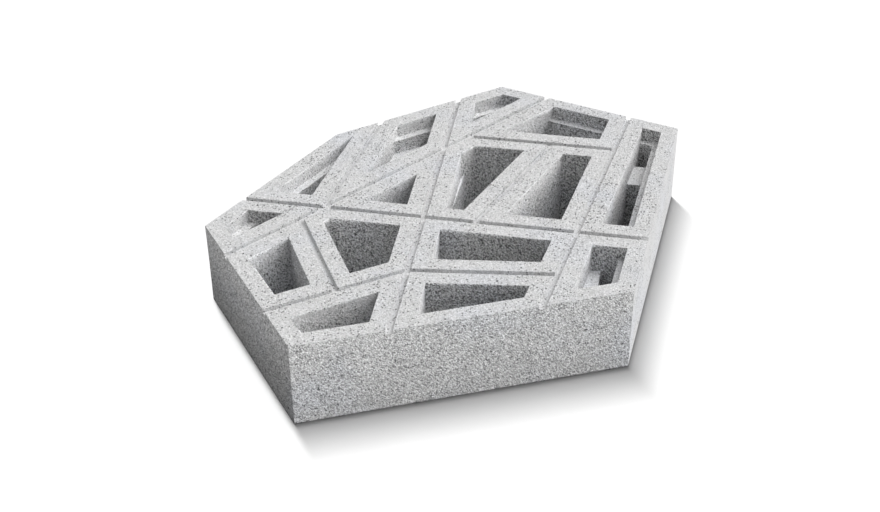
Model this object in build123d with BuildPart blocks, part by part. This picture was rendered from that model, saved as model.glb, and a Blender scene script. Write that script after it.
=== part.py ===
from build123d import *
from math import atan2, degrees, radians, sin, sqrt
import os

os.makedirs("parts", exist_ok=True)

# driving sizes of the block, in millimetres
thickness = 100.0
short_side = 247.5
long_side = 362.0
outer_wall = 19.35
web_width = 45.0
groove_width = 6.6
groove_depth = 4.5
ledge_depth = 17.25
ledge_wall = 28.4
rib_depth = 34.5

# how far from a corner the grooves leave the short sides and the long ones
side_inset = 66.5
roof_inset = 68.0
middle_inset = 64.0
long_inset = 101.5
front_inset = 99.5

# how far down the long groove the two cross ribs lie
high_rib = 208.0
low_rib = 393.0

# where the shorter grooves start, measured along the groove that they leave
kite_start = 42.5
spur_start = 59.0
spur_end = 104.4
fan_start = 34.8
fan_end = 82.0
foot_end = 59.0


def toward(start, end, distance):
    return start + (end - start).normalized() * distance


def crossing(a, b, c, d):
    u, v = b - a, d - c
    return a + u * (((c - a).X * v.Y - (c - a).Y * v.X) / (u.X * v.Y - u.Y * v.X))


def inset(cell, walls):
    """The corners of a hole: each edge of its cell, clockwise, moved inwards by its own wall."""
    moved = []
    for start, end, wall in zip(cell, cell[1:] + cell[:1], walls):
        along = (end - start).normalized()
        inwards = Vector(along.Y, -along.X) * wall
        moved.append((start + inwards, end + inwards))
    return [crossing(*moved[i - 1], *moved[i]) for i in range(len(moved))]


# the outline's six corners: 120 degrees at upper left, upper right and front
half_width = long_side * sin(radians(60))
roof_height = sqrt(3 * short_side**2 - half_width**2)
half_depth = (roof_height + long_side / 2) / 2
side_level = long_side / 2 - half_depth
top = Vector(0, half_depth)
front = Vector(0, -half_depth)
left = Vector(-half_width, side_level)
right = Vector(half_width, side_level)


def apex(a, b):
    along = (b - a).normalized()
    return (a + b) * 0.5 + Vector(-along.Y, along.X) * (short_side / 2)


upper_left = apex(left, top)
upper_right = apex(top, right)

# where grooves cut the outline
left_low = toward(left, upper_left, side_inset)
left_high = toward(upper_left, left, side_inset)
roof_left = toward(upper_left, top, roof_inset)
roof_middle = toward(top, upper_right, middle_inset)
roof_right = toward(upper_right, top, roof_inset)
right_high = toward(upper_right, right, side_inset)
right_low = toward(right, upper_right, side_inset)
front_right = toward(front, right, long_inset)
front_left = toward(front, left, front_inset)
left_foot = toward(left, front, long_inset)

# where grooves meet inside the block
hub = crossing(roof_left, front_right, left_high, right_high)
peak = crossing(roof_right, left_foot, left_high, right_high)
middle = crossing(roof_left, front_right, roof_right, left_foot)
low_hub = crossing(roof_left, front_right, right_low, front_left)
star = (middle + left_foot) * 0.5
kite_top = toward(peak, right_high, kite_start)
kite_foot = crossing(kite_top, kite_top + front_right - roof_left, right_low, front_left)
spur_left = toward(middle, front_right, spur_start)
spur_right = toward(kite_top, kite_foot, spur_end)
fan_top = toward(hub, left_high, fan_start)
fan_foot = toward(star, left_low, fan_end)
foot_end_point = toward(front_left, right_low, foot_end)
roof_tip = crossing(upper_left, top, roof_middle, hub)

grooves = [
    (roof_left, front_right),
    (left_high, right_high),
    (roof_right, left_foot),
    (right_low, front_left),
    (roof_middle, hub),
    (kite_top, kite_foot),
    (spur_left, spur_right),
    (fan_top, fan_foot),
    (left_low, star),
    (star, foot_end_point),
]

# the holes' cells, clockwise seen from above, with the edges that lie on the outline
rim_cells = [
    ([upper_left, roof_left, hub, left_high], (0, 3)),
    ([roof_left, roof_tip, hub], (0,)),
    ([roof_middle, roof_right, peak, hub], (0,)),
    ([roof_right, upper_right, right_high, peak], (0, 1)),
    ([right_high, right_low, kite_foot, kite_top], (0,)),
    ([right_low, right, front_right, low_hub], (0, 1)),
    ([low_hub, front_right, front, front_left], (1, 2)),
    ([star, foot_end_point, front_left, left_foot], (2,)),
    ([left_low, star, left_foot, left], (2, 3)),
    ([left_high, fan_top, fan_foot, left_low], (3,)),
]
inner_cells = [
    [hub, peak, middle],
    [peak, kite_top, spur_right, spur_left, middle],
    [spur_right, kite_foot, low_hub, spur_left],
    [fan_top, hub, middle, star, fan_foot],
    [middle, low_hub, foot_end_point, star],
]


# low ribs under the webs: one along the kite's groove, two square across it
slope = front_right - roof_left
across = Vector(-slope.Y, slope.X)
high_point = toward(roof_left, front_right, high_rib)
low_point = toward(roof_left, front_right, low_rib)
ribs = [
    (kite_top - slope, kite_top + slope),
    (high_point - across, high_point + across),
    (low_point - across, low_point + across),
]


def shape(points, mode=Mode.ADD):
    Polygon(*[(p.X, p.Y) for p in points], align=None, mode=mode)


def strips(lines, width):
    for start, end in lines:
        along = end - start
        centre = (start + end) * 0.5
        with Locations((centre.X, centre.Y)):
            Rectangle(along.length + width, width, rotation=degrees(atan2(along.Y, along.X)))


def rim_holes(wall):
    for cell, outer in rim_cells:
        shape(inset(cell, [wall if i in outer else web_width / 2 for i in range(len(cell))]))


outline = [left, upper_left, top, upper_right, right, front]
with BuildPart() as paver:
    with BuildSketch():
        shape(outline)
    extrude(amount=thickness)

    # holes right through, narrower below the ledge in the outer cells
    with BuildSketch():
        for cell in inner_cells:
            shape(inset(cell, [web_width / 2] * len(cell)))
        rim_holes(ledge_wall)
    extrude(amount=thickness, mode=Mode.SUBTRACT)
    with BuildSketch(Plane.XY.offset(thickness)):
        rim_holes(outer_wall)
    extrude(amount=-ledge_depth, mode=Mode.SUBTRACT)

    # ribs low in the holes, within the outline
    with BuildSketch():
        strips(ribs, web_width)
        shape(outline, Mode.INTERSECT)
    extrude(amount=thickness - rib_depth)

    # grooves in the top face, open at the outline
    with BuildSketch(Plane.XY.offset(thickness)):
        strips(grooves, groove_width)
    extrude(amount=-groove_depth, mode=Mode.SUBTRACT)

paver.part.label = "paver"
export_step(paver.part, "parts/paver.step")
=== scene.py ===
from collections import namedtuple
from math import cos, pi, radians, sin

import bmesh
import bpy
import numpy as np
from mathutils import Matrix, Vector, geometry, noise


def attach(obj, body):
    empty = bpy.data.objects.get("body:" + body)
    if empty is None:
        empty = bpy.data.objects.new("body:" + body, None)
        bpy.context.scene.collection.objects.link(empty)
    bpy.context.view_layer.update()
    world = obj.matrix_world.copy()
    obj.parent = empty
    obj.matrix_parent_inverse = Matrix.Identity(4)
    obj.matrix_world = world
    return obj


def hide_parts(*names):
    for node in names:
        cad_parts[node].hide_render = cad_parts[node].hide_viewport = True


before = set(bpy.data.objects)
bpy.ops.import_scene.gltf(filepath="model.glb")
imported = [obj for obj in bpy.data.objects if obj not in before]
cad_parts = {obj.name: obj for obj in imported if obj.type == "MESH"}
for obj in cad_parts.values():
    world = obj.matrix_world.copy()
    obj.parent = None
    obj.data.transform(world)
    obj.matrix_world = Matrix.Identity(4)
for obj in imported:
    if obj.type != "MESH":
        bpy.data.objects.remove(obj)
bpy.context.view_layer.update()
scene = bpy.context.scene
rng = np.random.default_rng(7)
MM = 0.001

# camera, in the paver's own frame
PHOTO_WIDTH, PHOTO_HEIGHT = 880, 512
FOCAL_PIXELS = 1353.2
VIEW_CENTRE = (452.0, 200.0)
CAMERA_PLACE = (-0.93807, -0.91667, 0.92050)
HEADING, PITCH, ROLL = radians(45.318), radians(31.798), radians(-0.176)

# the view's own axes on the plan: to the right and away from the camera
RIGHT = Vector((sin(HEADING), -cos(HEADING), 0))
AWAY = Vector((cos(HEADING), sin(HEADING), 0))
UP = Vector((0, 0, 1))


def put_camera():
    data = bpy.data.cameras.new("camera")
    data.sensor_width = 36.0
    data.lens = FOCAL_PIXELS / PHOTO_WIDTH * data.sensor_width
    data.shift_x = (PHOTO_WIDTH / 2 - VIEW_CENTRE[0]) / PHOTO_WIDTH
    data.shift_y = (VIEW_CENTRE[1] - PHOTO_HEIGHT / 2) / PHOTO_WIDTH
    data.clip_start, data.clip_end = 0.05, 60.0
    camera = bpy.data.objects.new("camera", data)
    ahead = AWAY * cos(PITCH) - UP * sin(PITCH)
    over = RIGHT.cross(ahead)
    right = RIGHT * cos(ROLL) + over * sin(ROLL)
    over = over * cos(ROLL) - RIGHT * sin(ROLL)
    turn = Matrix((right, over, -ahead)).transposed()
    camera.matrix_world = Matrix.Translation(CAMERA_PLACE) @ turn.to_4x4()
    scene.collection.objects.link(camera)
    scene.camera = camera


# the kinds of surface: spacing of their points, small and large pits to the square metre, depth of
# the relief, how coarse the material's grain is, and how light the concrete is; this tone holds painted
# light
# and shade: the groove, shelf, rib and the walls in the holes, most of all those facing the right, are
# painted lighter, and the smooth right side painted darker
Kind = namedtuple("Kind", "spacing small_pits large_pits relief coarse tone")
KINDS = {
    "top": Kind(4.0 * MM, 14000, 500, 0.16 * MM, 0.54, 0.955),
    "side": Kind(2.4 * MM, 3800, 200, 0.40 * MM, 1.15, 0.967),
    "smooth side": Kind(3.6 * MM, 800, 0, 0.20 * MM, 0.12, 0.76),
    "wall": Kind(5.2 * MM, 2500, 250, 0.40 * MM, 2.3, 1.03),
    "bright wall": Kind(5.2 * MM, 4500, 700, 0.25 * MM, 2.1, 1.53),
    "lip": Kind(5.2 * MM, 0, 0, 0.15 * MM, 0.5, 1.0),
    "groove": Kind(4.0 * MM, 6000, 0, 0.16 * MM, 0.4, 1.10),
    "shelf": Kind(5.2 * MM, 4000, 0, 0.25 * MM, 0.6, 1.24),
    "rib": Kind(5.2 * MM, 4000, 0, 0.25 * MM, 0.6, 1.34),
    "under": Kind(16.0 * MM, 0, 0, 0.0, 1.0, 1.0),
}

# how a surface is told: by its slope, its depth below the top, its height and the way it faces
LEVEL_SLOPE = 0.7
TOP_DEPTH = 1 * MM
GROOVE_DEPTH = 8 * MM
SHELF_DEPTH = 25 * MM
LIP_HEIGHT = 8 * MM
FACES_LIGHT = 0.3
SMOOTH_SIDE = 0.9
SHADED_SIDE = -0.5

# what the material reads from a face: coarser grain and more painted shade towards the ground on the shaded
# side, a mark on bright walls, and the tone of arrises, which is painted darker the more they face right,
# against their highlights
SHADED_GRAIN, SHADED_GROUND_SHADE = 1.7, 2.1
CREST = 0.25
ARRIS_TONE, ARRIS_TURN = 0.88, 0.34

# worn arrises: width of the narrow strip along each, and the least angle and length of an edge that has one
ARRIS = 0.35 * MM
ARRIS_ANGLE = radians(20)
ARRIS_LENGTH = 3 * MM

# pits: radii of the large and the small ones in millimetres, and their depths as shares of the radius
LARGE_RADII = (1.0, 1.9)
SMALL_RADII = (0.45, 0.95)
SMALL_PIT = 1.0 * MM
SMALL_DEPTH, LARGE_DEPTH = 1.6, 1.1
PIT_TO_EDGE = 0.4 * MM
PIT_TO_PIT = 0.5 * MM
PIT_TO_GRID = 1.7
LEAST_PITTED_AREA = 60 * MM ** 2

# the grid between the pits, as shares of its spacing
ROW_SPACING = 0.87
JITTER = 0.28
GRID_TO_EDGE = 0.45

# how finely edges are cut, and how many points are measured at once
EDGE_STEP = 3.5 * MM
BATCH = 2000

# lengths of the waves in the relief, and the size and depth of the chips
WAVE, RIPPLE = 16 * MM, 5 * MM
CHIP, CHIP_DEPTH = 7 * MM, 0.7 * MM


def flat_parts(bm):
    """Groups of joined faces that lie in one plane."""
    seen, groups = set(), []
    for first in bm.faces:
        if first in seen:
            continue
        seen.add(first)
        group, todo = [], [first]
        while todo:
            face = todo.pop()
            group.append(face)
            for edge in face.edges:
                for other in edge.link_faces:
                    if other not in seen and other.normal.dot(first.normal) > 0.99995:
                        seen.add(other)
                        todo.append(other)
        groups.append(group)
    return groups


def inside(points, ends):
    """Which points lie within the closed loops that those line ends make."""
    hit = np.zeros(len(points), bool)
    a, b = ends[:, 0], ends[:, 1]
    rise = np.where(b[:, 1] == a[:, 1], 1e-12, b[:, 1] - a[:, 1])
    for i in range(0, len(points), BATCH):
        p = points[i:i + BATCH, None]
        spans = (a[:, 1] > p[:, :, 1]) != (b[:, 1] > p[:, :, 1])
        x = a[:, 0] + (p[:, :, 1] - a[:, 1]) / rise * (b[:, 0] - a[:, 0])
        hit[i:i + BATCH] = (spans & (p[:, :, 0] < x)).sum(1) % 2 == 1
    return hit


def clearance(points, ends):
    """How far each point is from the nearest of the lines."""
    out = np.zeros(len(points))
    a = ends[:, 0]
    d = ends[:, 1] - a
    size = np.maximum((d ** 2).sum(1), 1e-18)
    for i in range(0, len(points), BATCH):
        p = points[i:i + BATCH, None] - a
        t = np.clip((p * d).sum(2) / size, 0, 1)
        out[i:i + BATCH] = np.sqrt(((p - t[:, :, None] * d) ** 2).sum(2)).min(1)
    return out


def scatter(ends, spacing):
    """Points inside the loops on a jittered grid of staggered rows."""
    low, high = ends.min((0, 1)), ends.max((0, 1))
    columns = np.arange(low[0], high[0], spacing)
    rows = np.arange(low[1], high[1], spacing * ROW_SPACING)
    x, y = np.meshgrid(columns, rows)
    x[1::2] += spacing / 2
    points = np.stack([x.ravel(), y.ravel()], 1)
    points += rng.uniform(-JITTER, JITTER, points.shape) * spacing
    points = points[inside(points, ends)]
    return points[clearance(points, ends) > spacing * GRID_TO_EDGE] if len(points) else points


def kind_of(group, normal, origin, corners):
    """The name of a flat part's kind of surface."""
    if normal.z > LEVEL_SLOPE:
        deep = corners[:, 2].max() - origin.z
        if deep > GROOVE_DEPTH:
            return "shelf" if deep < SHELF_DEPTH else "rib"
        return "top" if deep < TOP_DEPTH else "groove"
    if normal.z < -LEVEL_SLOPE:
        return "under"
    outermost = (corners @ np.array(normal)).max() < origin.dot(normal) + 0.05 * MM
    if outermost:
        return "smooth side" if normal.dot(RIGHT) > SMOOTH_SIDE else "side"
    levels = [vert.co.z for face in group for vert in face.verts]
    if max(levels) - min(levels) < LIP_HEIGHT:
        return "lip"
    return "bright wall" if normal.dot(RIGHT) > FACES_LIGHT else "wall"


def face_values(kind, normal, strip):
    """What the material reads from each face of a flat part."""
    to_right = normal.dot(RIGHT)
    shaded = kind == "side" and to_right < SHADED_SIDE
    return {
        "coarse": KINDS[kind].coarse * (SHADED_GRAIN if shaded else 1.0),
        "crest": CREST if kind == "bright wall" else 1.0,
        "outer": float(kind == "side") * (SHADED_GROUND_SHADE if shaded else 1.0),
        # arrises are painted darker the more they face right; other faces take their kind's tone, with its
        # painted light and shade
        "tone": ARRIS_TONE - ARRIS_TURN * max(0, to_right) if strip else KINDS[kind].tone,
    }


def clear_of(point, radius, pits):
    for other, size in pits:
        apart = (point[0] - other[0]) ** 2 + (point[1] - other[1]) ** 2
        if apart <= (radius + size + PIT_TO_PIT) ** 2:
            return False
    return True


def place_pits(ends, kind):
    """Centres and radii of the pits in one flat part, clear of its edges and of each other."""
    low, high = ends.min((0, 1)), ends.max((0, 1))
    box = (high - low).prod()
    found = []
    for count, (least, most) in ((kind.large_pits * box, LARGE_RADII), (kind.small_pits * box, SMALL_RADII)):
        points = rng.uniform(low, high, (rng.poisson(count), 2))
        size = (least + (most - least) * rng.random(len(points)) ** 2) * MM
        if len(points):
            within = inside(points, ends)
            points, size = points[within], size[within]
        if len(points):
            clear = clearance(points, ends) > size + PIT_TO_EDGE
            points, size = points[clear], size[clear]
        for point, radius in zip(points, size):
            if clear_of(point, radius, found):
                found.append((point, radius))
    return found


def pit_points(centre, radius):
    """Rings of points for one pit, each with its share of the depth."""
    count = 7 if radius < SMALL_PIT else 9
    turn = rng.uniform(0, 2 * pi)
    uneven = rng.uniform(0.8, 1.2, count)
    angles = turn + np.arange(count) * 2 * pi / count
    ring = centre + np.stack([np.cos(angles), np.sin(angles)], 1) * (radius * uneven)[:, None]
    if radius < SMALL_PIT:
        return [(p, 0.0) for p in ring] + [(centre, 1.0)]
    middle = centre + (ring[::2] - centre) * 0.5
    return [(p, 0.0) for p in ring] + [(p, 0.8) for p in middle] + [(centre, 1.0)]


def inner_points(ends, kind):
    """Points within one flat part and how deep each is sunk: its pits, then a level grid around them."""
    pits = place_pits(ends, kind)
    grid = scatter(ends, kind.spacing)
    points, depths = [], []
    for centre, radius in pits:
        if len(grid):
            grid = grid[((grid - centre) ** 2).sum(1) > (radius * PIT_TO_GRID) ** 2]
        for point, share in pit_points(centre, radius):
            points.append(tuple(point))
            depths.append(share * radius * (SMALL_DEPTH if radius < SMALL_PIT else LARGE_DEPTH))
    return points + [tuple(p) for p in grid], depths + [0.0] * len(grid)


def rounded_block(node):
    """The block with a narrow strip along each arris, the corners it had before, and the strips' faces."""
    bm = bmesh.new()
    bm.from_mesh(node.data)
    bmesh.ops.remove_doubles(bm, verts=bm.verts, dist=1e-6)
    bmesh.ops.dissolve_limit(bm, angle_limit=radians(0.5), verts=bm.verts, edges=bm.edges)
    corners = np.array([tuple(v.co) for v in bm.verts])
    arrises = []
    for edge in bm.edges:
        if edge.calc_face_angle_signed() > ARRIS_ANGLE and edge.calc_length() > ARRIS_LENGTH:
            arrises.append(edge)
    cut = bmesh.ops.bevel(bm, geom=arrises, offset=ARRIS, segments=1, affect="EDGES", clamp_overlap=False)
    bm.normal_update()
    bm.verts.index_update()
    return bm, corners, set(cut["faces"])


class Skin:
    """A fine surface over the block, made from one flat part after another."""

    def __init__(self, bm, corners):
        self.bm = bm
        self.corners = corners
        self.coords = [v.co.copy() for v in bm.verts]
        self.triangles = []
        self.values = {}
        self.relief_of = {}
        self.worn = set()
        self.sunk = {}

    def cut_edges(self, groups):
        """For each flat part, the pairs of points that run along its edges."""
        part = {face: i for i, group in enumerate(groups) for face in group}
        edges_of = [[] for _ in groups]
        for edge in self.bm.edges:
            owners = {part[f] for f in edge.link_faces}
            if len(owners) < 2:
                continue
            a, b = edge.verts
            steps = max(1, round(edge.calc_length() / EDGE_STEP))
            first_new = len(self.coords)
            ids = [a.index] + list(range(first_new, first_new + steps - 1)) + [b.index]
            self.coords += [a.co.lerp(b.co, i / steps) for i in range(1, steps)]
            for owner in owners:
                edges_of[owner] += list(zip(ids, ids[1:]))
        return edges_of

    def add(self, group, edges, strip):
        """Cuts one flat part into triangles between its edges and its inner points."""
        biggest = max(group, key=lambda f: f.calc_area())
        normal, origin = biggest.normal.copy(), biggest.calc_center_median()
        u = normal.orthogonal().normalized()
        v = normal.cross(u)
        name = kind_of(group, normal, origin, self.corners)
        kind = KINDS[name]
        ids = sorted({n for pair in edges for n in pair})
        place = {n: k for k, n in enumerate(ids)}
        points = [((self.coords[n] - origin).dot(u), (self.coords[n] - origin).dot(v)) for n in ids]
        pairs = np.array([(place[a], place[b]) for a, b in edges])
        ends = np.array(points)[pairs]
        depths = [0.0] * len(ids)
        if not strip and sum(f.calc_area() for f in group) > LEAST_PITTED_AREA:
            more_points, more_depths = inner_points(ends, kind)
            points += more_points
            depths += more_depths
        made, _, faces, from_point, _, _ = geometry.delaunay_2d_cdt(
            [Vector(p) for p in points], [tuple(map(int, p)) for p in pairs], [], 0, 1e-8)
        number = []
        for at, source in zip(made, from_point):
            known = [n for n in source if n < len(ids)]
            if known:
                number.append(ids[known[0]])
            else:
                number.append(len(self.coords))
                self.coords.append(origin + u * at[0] + v * at[1])
                if source and depths[source[0]]:
                    self.sunk[number[-1]] = normal * -depths[source[0]]
            self.relief_of.setdefault(number[-1], []).append(kind.relief)
            if strip:
                self.worn.add(number[-1])
        made = np.array([tuple(p) for p in made])
        faces = np.array([f for f in faces if len(f) == 3])
        faces = faces[inside(made[faces].mean(1), ends)]
        self.triangles += [[number[k] for k in f] for f in faces]
        for key, value in face_values(name, normal, strip).items():
            self.values.setdefault(key, []).extend([value] * len(faces))

    def mesh(self):
        mesh = bpy.data.meshes.new("paver")
        mesh.from_pydata([tuple(c) for c in self.coords], [], self.triangles)
        mesh.update()
        for name, values in self.values.items():
            mesh.attributes.new(name, "FLOAT", "FACE").data.foreach_set("value", values)
        mesh.validate()
        self.wear(mesh)
        return mesh

    def wear(self, mesh):
        """Pushes the surface inwards by its relief, chips the arrises and sinks the pits."""
        normals = [n.vector.copy() for n in mesh.vertex_normals]
        pits = mesh.attributes.new("pit", "FLOAT", "POINT")
        for i, vert in enumerate(mesh.vertices):
            if i not in self.relief_of:
                continue
            at = vert.co.copy()
            reliefs = self.relief_of[i]
            waves = noise.noise(at / WAVE) * 0.55 + noise.noise(at / RIPPLE) * 0.45
            depth = sum(reliefs) / len(reliefs) * min(1, max(0, 0.5 + 0.75 * waves))
            if i in self.worn:
                depth += max(0, noise.noise(at / CHIP + Vector((9, 2, 4))) - 0.34) * CHIP_DEPTH
            move = normals[i] * -depth
            if i in self.sunk:
                move += self.sunk[i]
                pits.data[i].value = 1.0
            if at.z < 0.01 * MM:
                move.z = 0
            vert.co = at + move
        mesh.update()


def build_surface(node):
    bm, corners, rounded = rounded_block(node)
    groups = flat_parts(bm)
    skin = Skin(bm, corners)
    for group, edges in zip(groups, skin.cut_edges(groups)):
        skin.add(group, edges, all(face in rounded for face in group))
    bm.free()
    return skin.mesh()


put_camera()
paver = bpy.data.objects.new("paver_concrete", build_surface(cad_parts["paver"]))
scene.collection.objects.link(paver)
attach(paver, "root")
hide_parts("paver")


class Nodes:
    """Short names for making and joining a material's nodes."""

    def __init__(self, material):
        material.use_nodes = True
        self.tree = material.node_tree
        self.shader = self.tree.nodes["Principled BSDF"]

    def join(self, socket, value):
        if isinstance(value, bpy.types.NodeSocket):
            self.tree.links.new(value, socket)
        elif isinstance(value, (int, float)) and socket.type == "RGBA":
            socket.default_value = (value, value, value, 1)
        else:
            socket.default_value = value

    def math(self, operation, a, b):
        node = self.tree.nodes.new("ShaderNodeMath")
        node.operation = operation
        self.join(node.inputs[0], a)
        self.join(node.inputs[1], b)
        return node.outputs[0]

    def ramp(self, value, low, high, to_low=0.0, to_high=1.0):
        node = self.tree.nodes.new("ShaderNodeMapRange")
        for socket, each in zip(node.inputs[:5], (value, low, high, to_low, to_high)):
            self.join(socket, each)
        return node.outputs[0]

    def mix(self, share, a, b, blend="MIX"):
        node = self.tree.nodes.new("ShaderNodeMix")
        node.data_type, node.blend_type = "RGBA", blend
        for index, each in ((0, share), (6, a), (7, b)):
            self.join(node.inputs[index], each)
        return node.outputs[2]

    def noise(self, place, size, detail=2.0, rough=0.5):
        """Noise from 0 to 1 whose lumps are about that size."""
        node = self.tree.nodes.new("ShaderNodeTexNoise")
        self.join(node.inputs["Vector"], place)
        self.join(node.inputs["Scale"], 1 / size)
        self.join(node.inputs["Detail"], detail)
        self.join(node.inputs["Roughness"], rough)
        return node.outputs["Fac"]

    def cells(self, place, size):
        """The distance to the nearest of points that far apart, and two random values for each."""
        node = self.tree.nodes.new("ShaderNodeTexVoronoi")
        self.join(node.inputs["Vector"], place)
        self.join(node.inputs["Scale"], 1 / size)
        split = self.tree.nodes.new("ShaderNodeSeparateColor")
        self.tree.links.new(node.outputs["Color"], split.inputs[0])
        return node.outputs["Distance"], split.outputs[0], split.outputs[1]

    def pores(self, place, spacing, crowd, least, most):
        """1 inside round pores, whose radii are shares of their spacing, and 0 elsewhere."""
        gap, chance, width = self.cells(place, spacing)
        near = self.math("LESS_THAN", gap, self.ramp(width, 0.0, 1.0, least, most))
        return self.math("MULTIPLY", near, self.math("LESS_THAN", chance, crowd))

    def drawn(self, place, direction, stretch):
        """Coordinates in which a texture is drawn out along that direction."""
        node = self.tree.nodes.new("ShaderNodeMapping")
        node.vector_type = "TEXTURE"
        node.inputs["Rotation"].default_value = direction.to_track_quat("X", "Z").to_euler()
        node.inputs["Scale"].default_value = (stretch, 1, 1)
        self.join(node.inputs["Vector"], place)
        return node.outputs[0]

    def attribute(self, name):
        node = self.tree.nodes.new("ShaderNodeAttribute")
        node.attribute_name = name
        return node.outputs["Fac"]


# colours of the concrete, which is a little cooler in patches
NEUTRAL = (0.620, 0.620, 0.622, 1)
COOL = (0.610, 0.618, 0.640, 1)

# sizes of what the material shows
COOL_PATCH = 70 * MM
PALE_PATCH = 25 * MM
PORE_PATCH = 40 * MM
LUMP = 1.9 * MM
SAND = 1.0 * MM
CEMENT = 0.80 * MM
STRETCH = 1.9
FINE_PORES = 2.3 * MM
LARGE_PORES = 7.0 * MM
DEEP_PORES = 3.4 * MM

# fine relief: its height, the share of lumps and pores in it, and the coarseness past which it grows no more
FINE_RELIEF = 0.75 * MM
LUMP_RELIEF, PORE_RELIEF = 0.42, 0.4
MOST_COARSE = 1.15

# how much sand, cement and lumps lighten or darken the concrete, and the limits of its tone
SAND_TONE, CEMENT_TONE, LUMP_TONE = 0.36, 0.52, 0.04
DARKEST_GRAIN, PALEST_GRAIN, PALEST = 0.15, 1.6, 1.58
# painted shade in the pores and in the sunk pits
PORE_SHADE, PIT_SHADE = 0.15, 0.42

# bright walls are smoother between these heights, and their painted light lessens towards their top between
# the others, down to this share
SMOOTH_LOW, SMOOTH_HIGH = 60 * MM, 95 * MM
CREST_LOW, CREST_HIGH, CREST_TONE = 50 * MM, 96 * MM, 0.705

# painted shade: the outer sides darken towards the ground over this height, and every foot has a painted
# contact shadow where it meets the ground
GROUND_SHADE, GROUND_SHADE_HEIGHT = 0.210, 90 * MM
CONTACT_SHADOW, CONTACT_SHADOW_LOW, CONTACT_SHADOW_HIGH = 0.3, 0.8 * MM, 2.4 * MM


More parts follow.
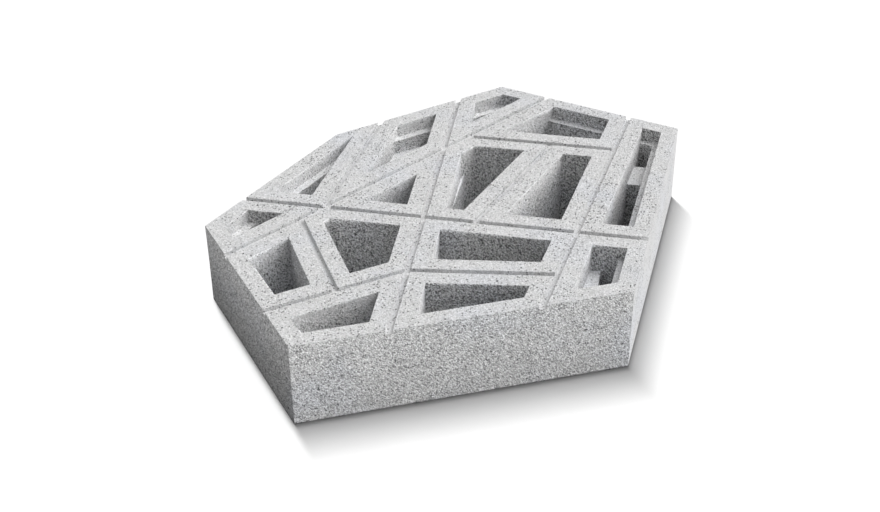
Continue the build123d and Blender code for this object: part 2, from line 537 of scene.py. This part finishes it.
def concrete_material():
    material = bpy.data.materials.new("concrete")
    n = Nodes(material)
    place = n.tree.nodes.new("ShaderNodeTexCoord").outputs["Object"]
    split = n.tree.nodes.new("ShaderNodeSeparateXYZ")
    n.join(split.inputs[0], place)
    height = split.outputs[2]
    # the walls that face the light are smoother at their top
    crest = n.attribute("crest")
    smooth = n.ramp(height, SMOOTH_LOW, SMOOTH_HIGH, 1.0, crest)
    coarse = n.math("MULTIPLY", n.attribute("coarse"), smooth)
    pit = n.attribute("pit")

    # broad patches, a little cool or pale
    grey = n.mix(n.ramp(n.noise(place, COOL_PATCH, 3), 0.45, 0.70), NEUTRAL, COOL)
    patches = n.ramp(n.noise(place, PALE_PATCH, 4, 0.6), 0.3, 0.7, 0.965, 1.035)

    # grain: lumps, sand drawn out slantwise, and cement
    drawn = n.drawn(place, RIGHT - UP, STRETCH)
    lump = n.ramp(n.noise(drawn, LUMP, 2, 0.6), 0.3, 0.7, -1.0, 1.0)
    sand_gap, sand, _ = n.cells(drawn, SAND)
    _, cement, _ = n.cells(place, CEMENT)
    sand_level = n.ramp(sand, 0.0, 1.0, -SAND_TONE, SAND_TONE)
    cement_level = n.ramp(cement, 0.0, 1.0, -CEMENT_TONE, CEMENT_TONE)
    grain = n.math("ADD", sand_level, cement_level)
    grain = n.math("ADD", grain, n.math("MULTIPLY", lump, LUMP_TONE))
    level = n.math("ADD", n.math("MULTIPLY", grain, coarse), 1.0)
    level = n.math("MAXIMUM", n.math("MINIMUM", level, PALEST_GRAIN), DARKEST_GRAIN)
    level = n.math("MULTIPLY", patches, level)
    # painted light and shade by kind of surface: recesses and walls facing the right lighter, the right side
    # and arrises facing the right darker
    level = n.math("MULTIPLY", level, n.attribute("tone"))
    # the painted light of bright walls lessens towards their top
    crest_level = n.ramp(crest, CREST, 1.0, CREST_TONE, 1.0)
    level = n.math("MULTIPLY", level, n.ramp(height, CREST_LOW, CREST_HIGH, 1.0, crest_level))
    level = n.math("MINIMUM", level, PALEST)

    # dark pores, thick in some places and thin in others, and deep ones in coarse walls: painted shade in
    # pores that the bump only dents
    crowd = n.ramp(n.noise(place, PORE_PATCH, 2), 0.38, 0.66, 0.07, 0.52)
    crowd = n.math("MULTIPLY", crowd, n.ramp(coarse, 0.6, 1.0, 1.0, 0.3))
    fine = n.pores(place, FINE_PORES, crowd, 0.20, 0.44)
    large = n.pores(place, LARGE_PORES, n.math("MULTIPLY", crowd, 0.6), 0.08, 0.17)
    deep_crowd = n.math("MULTIPLY", n.ramp(coarse, 1.2, 1.9), n.ramp(crest, CREST, 1.0, 0.60, 0.06))
    deep = n.pores(place, DEEP_PORES, deep_crowd, 0.15, 0.34)
    pore = n.math("MAXIMUM", deep, n.math("MAXIMUM", fine, large))
    level = n.math("MULTIPLY", level, n.ramp(pore, 0.0, 1.0, 1.0, PORE_SHADE))
    # painted shade in the sunk pits
    level = n.math("MULTIPLY", level, n.ramp(pit, 0.0, 1.0, 1.0, PIT_SHADE))

    # painted shade: the outer sides darken towards the ground, the shaded side most
    ground_shade = n.math("MULTIPLY", n.ramp(height, 0.0, GROUND_SHADE_HEIGHT, GROUND_SHADE, 0.0), n.attribute("outer"))
    level = n.math("MULTIPLY", level, n.math("SUBTRACT", 1.0, ground_shade))
    # painted contact shadow along every foot, where it meets the ground
    level = n.math("MULTIPLY", level, n.ramp(height, CONTACT_SHADOW_LOW, CONTACT_SHADOW_HIGH, CONTACT_SHADOW, 1.0))

    n.join(n.shader.inputs["Base Color"], n.mix(1.0, grey, level, "MULTIPLY"))
    n.join(n.shader.inputs["Specular IOR Level"], 0.3)
    n.join(n.shader.inputs["Roughness"], n.ramp(cement, 0.0, 1.0, 0.95, 0.78))

    # relief finer than the mesh: lumps, and grains of sand that stand out
    grains = n.math("MULTIPLY", n.ramp(sand_gap, 0.0, 0.6, 1.0, 0.0), n.ramp(sand, 0.0, 1.0, 0.1, 0.6))
    relief = n.math("ADD", grains, n.math("MULTIPLY", lump, LUMP_RELIEF))
    relief = n.math("MULTIPLY", relief, n.math("MINIMUM", coarse, MOST_COARSE))
    bump = n.tree.nodes.new("ShaderNodeBump")
    bump.inputs["Strength"].default_value = 1.0
    bump.inputs["Distance"].default_value = FINE_RELIEF
    n.join(bump.inputs["Height"], n.math("SUBTRACT", relief, n.math("MULTIPLY", pore, PORE_RELIEF)))
    n.join(n.shader.inputs["Normal"], bump.outputs[0])
    return material


paver.data.materials.append(concrete_material())

# the floor, which is dark to all but the camera's rays, so that it throws little light up
FLOOR_REACH = 30.0
FLOOR_LEVEL = -0.2 * MM
FLOOR_SEEN = (0.50, 0.50, 0.50, 1)
FLOOR_UNSEEN = (0.125, 0.125, 0.125, 1)
FLOOR_CORNERS = ((-1, -1), (1, -1), (1, 1), (-1, 1))
floor_mesh = bpy.data.meshes.new("floor")
spread = [(x * FLOOR_REACH, y * FLOOR_REACH, FLOOR_LEVEL) for x, y in FLOOR_CORNERS]
floor_mesh.from_pydata(spread, [], [(0, 1, 2, 3)])
floor = bpy.data.objects.new("floor", floor_mesh)
scene.collection.objects.link(floor)
pale = bpy.data.materials.new("floor")
pale.use_nodes = True
tree = pale.node_tree
tree.nodes.clear()
surface = tree.nodes.new("ShaderNodeOutputMaterial")
path = tree.nodes.new("ShaderNodeLightPath")
diffuse = tree.nodes.new("ShaderNodeBsdfDiffuse")
colour = tree.nodes.new("ShaderNodeMix")
colour.data_type = "RGBA"
colour.inputs[6].default_value = FLOOR_UNSEEN
colour.inputs[7].default_value = FLOOR_SEEN
tree.links.new(path.outputs["Is Camera Ray"], colour.inputs[0])
tree.links.new(colour.outputs[2], diffuse.inputs["Color"])
tree.links.new(diffuse.outputs[0], surface.inputs["Surface"])
floor.data.materials.append(pale)

# world: white behind the object, and a faint even light
AMBIENT = 0.38
world = bpy.data.worlds.new("studio")
scene.world = world
world.use_nodes = True
tree = world.node_tree
back = tree.nodes["Background"]
path = tree.nodes.new("ShaderNodeLightPath")
seen = tree.nodes.new("ShaderNodeMath")
seen.operation = "MAXIMUM"
white = tree.nodes.new("ShaderNodeMapRange")
white.inputs["To Min"].default_value = AMBIENT
tree.links.new(path.outputs["Is Camera Ray"], seen.inputs[0])
tree.links.new(path.outputs["Is Glossy Ray"], seen.inputs[1])
tree.links.new(seen.outputs[0], white.inputs["Value"])
tree.links.new(white.outputs["Result"], back.inputs["Strength"])
back.inputs["Color"].default_value = (1, 1, 1, 1)


def hang(name, data, towards, lit):
    """A lamp that shines from that direction and lights only that collection."""
    lamp = bpy.data.objects.new(name, data)
    lamp.rotation_euler = towards.to_track_quat("Z", "Y").to_euler()
    scene.collection.objects.link(lamp)
    lamp.light_linking.receiver_collection = lit
    return lamp


def sun(name, right, away, up, level, spread, lit):
    """A distant lamp, which lights a white surface that faces it to that level."""
    data = bpy.data.lights.new(name, "SUN")
    data.energy = level * pi
    data.angle = radians(spread)
    hang(name, data, RIGHT * right + AWAY * away + UP * up, lit)


on_paver = bpy.data.collections.new("on_paver")
on_paver.objects.link(paver)
on_floor = bpy.data.collections.new("on_floor")
on_floor.objects.link(floor)

# the paver's lamps: how far to the right, away and up each lies, its level, and its spread in degrees
sun("soft", 0.53, 0.13, 0.84, 0.60, 50, on_paver)
sun("low", 0.93, 0.20, 0.33, 0.66, 40, on_paver)
sun("side", 0.65, -0.76, 0.035, 0.46, 3, on_paver)
sun("back", -0.3, 0.95, 0.5, 0.05, 20, on_paver)

# a long lamp beside the upper part of the left side
LEFT_OUTWARD = RIGHT * -0.885 - AWAY * 0.465
LEFT_SIDE = Vector((-0.2774, 0.0626, 0.094))
STRIP_GAP = 0.09
strip = bpy.data.lights.new("left_strip", "AREA")
strip.shape = "RECTANGLE"
strip.size, strip.size_y = 0.30, 0.012
strip.energy = 0.038
hang("left_strip", strip, LEFT_OUTWARD, on_paver).location = LEFT_SIDE + LEFT_OUTWARD * STRIP_GAP

# the floor's lamps: one overhead, and a row that leans further to throw the soft shadow
sun("overhead", -0.01, 0.05, 1, 0.26, 4, on_floor)
SHADOW_LAMPS = 9
SHADOW_LEAN = (-0.24, 0.57)
SHADOW_LEVEL = 1.59
for i in range(SHADOW_LAMPS):
    share = (i + 1) / SHADOW_LAMPS
    right, away = (lean * share for lean in SHADOW_LEAN)
    sun(f"overhead_{i}", right, away, 1, SHADOW_LEVEL / SHADOW_LAMPS, 5, on_floor)

scene.view_settings.view_transform = "Standard"
